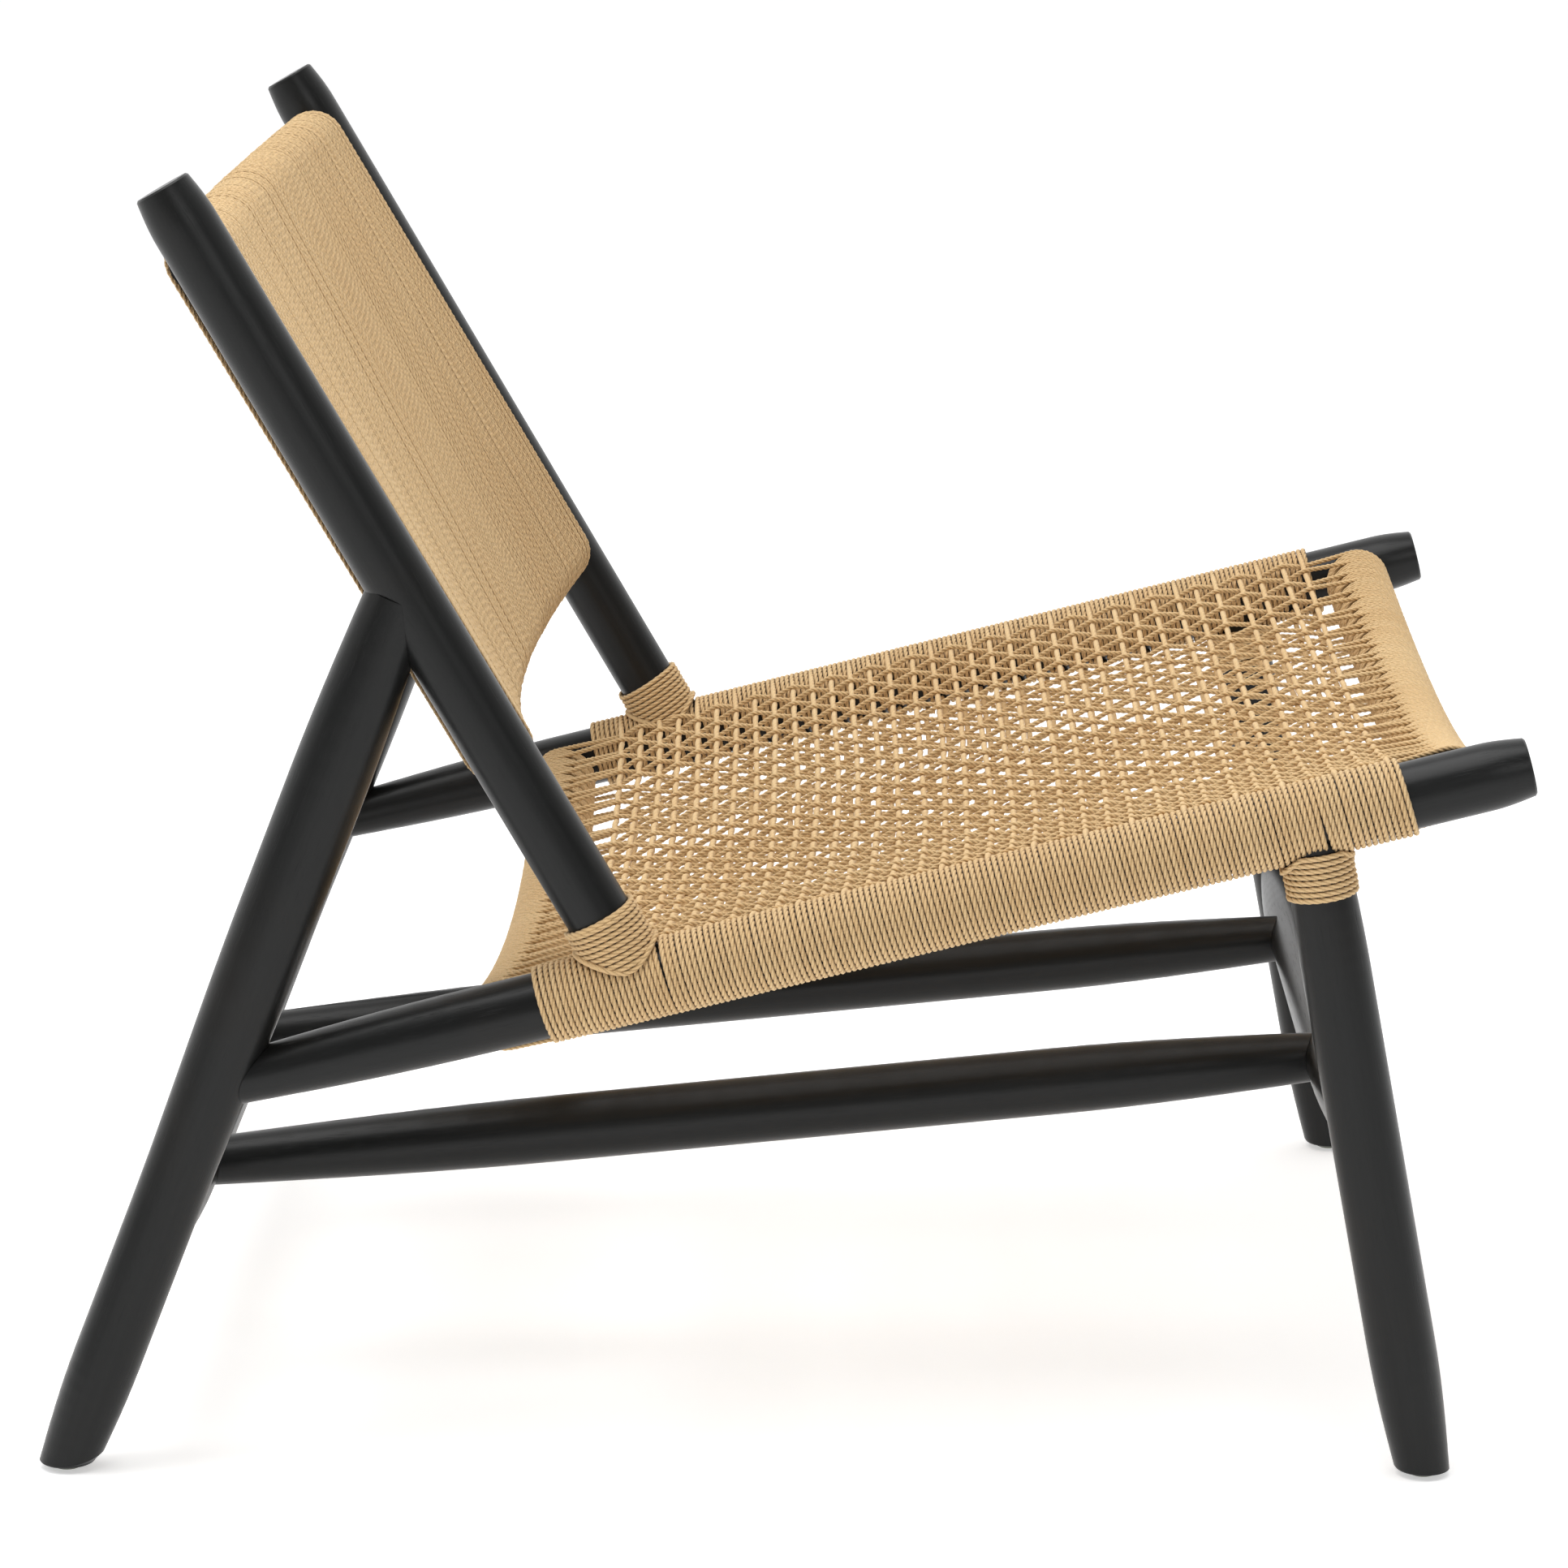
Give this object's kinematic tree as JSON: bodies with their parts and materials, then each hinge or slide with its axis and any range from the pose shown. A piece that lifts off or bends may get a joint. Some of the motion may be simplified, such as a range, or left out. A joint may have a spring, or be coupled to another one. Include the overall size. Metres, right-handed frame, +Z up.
{
  "type": "lounge chair",
  "caption": "Low armless lounge chair of black round hardwood sticks, with a dished seat and a leaning back of tan twisted paper cord.",
  "frame": {"origin": "centre of the bounding box at floor level, under the middle of the chair", "axes": "+Z up, -Y the way the sitter faces, +X to the sitter's left; the chair is mirror symmetric about the plane x = 0"},
  "size_m": [0.6726, 0.7976, 0.6997],
  "materials": {
    "black_wood": "satin black stain over fine open grain",
    "dowel_wood": "unfinished beech",
    "paper_cord": "three-ply twisted paper cord, natural tan, dull",
    "glide_plastic": "grey-green matte plastic",
    "brad_steel": "bright wire"
  },
  "bodies": {
    "root": {"rear_leg_right": "black_wood", "rear_leg_left": "black_wood", "back_post_right": "black_wood", "back_post_left": "black_wood", "seat_rail_right": "black_wood", "seat_rail_left": "black_wood", "front_leg_right": "black_wood", "front_leg_left": "black_wood", "long_stretcher_right": "black_wood", "long_stretcher_left": "black_wood", "front_stretcher": "black_wood", "rear_stretcher": "black_wood", "seat_front_rail": "black_wood", "seat_rear_rail": "black_wood", "back_top_rail": "black_wood", "back_bottom_rail": "black_wood", "leg_dowel_right": "dowel_wood", "leg_dowel_left": "dowel_wood", "glide_rear_right": "glide_plastic", "glide_rear_left": "glide_plastic", "glide_front_right": "glide_plastic", "glide_front_left": "glide_plastic", "cord_brads": "brad_steel", "side_rail_wrap_right": "paper_cord", "side_rail_wrap_left": "paper_cord", "post_collar_right": "paper_cord", "post_collar_left": "paper_cord", "leg_collar_right": "paper_cord", "leg_collar_left": "paper_cord", "seat_front_wrap": "paper_cord", "seat_rear_wrap": "paper_cord", "seat_weave": "paper_cord", "back_top_wrap": "paper_cord", "back_bottom_wrap": "paper_cord", "back_front_strands": "paper_cord", "back_rear_strands": "paper_cord"}
  },
  "joints": []
}
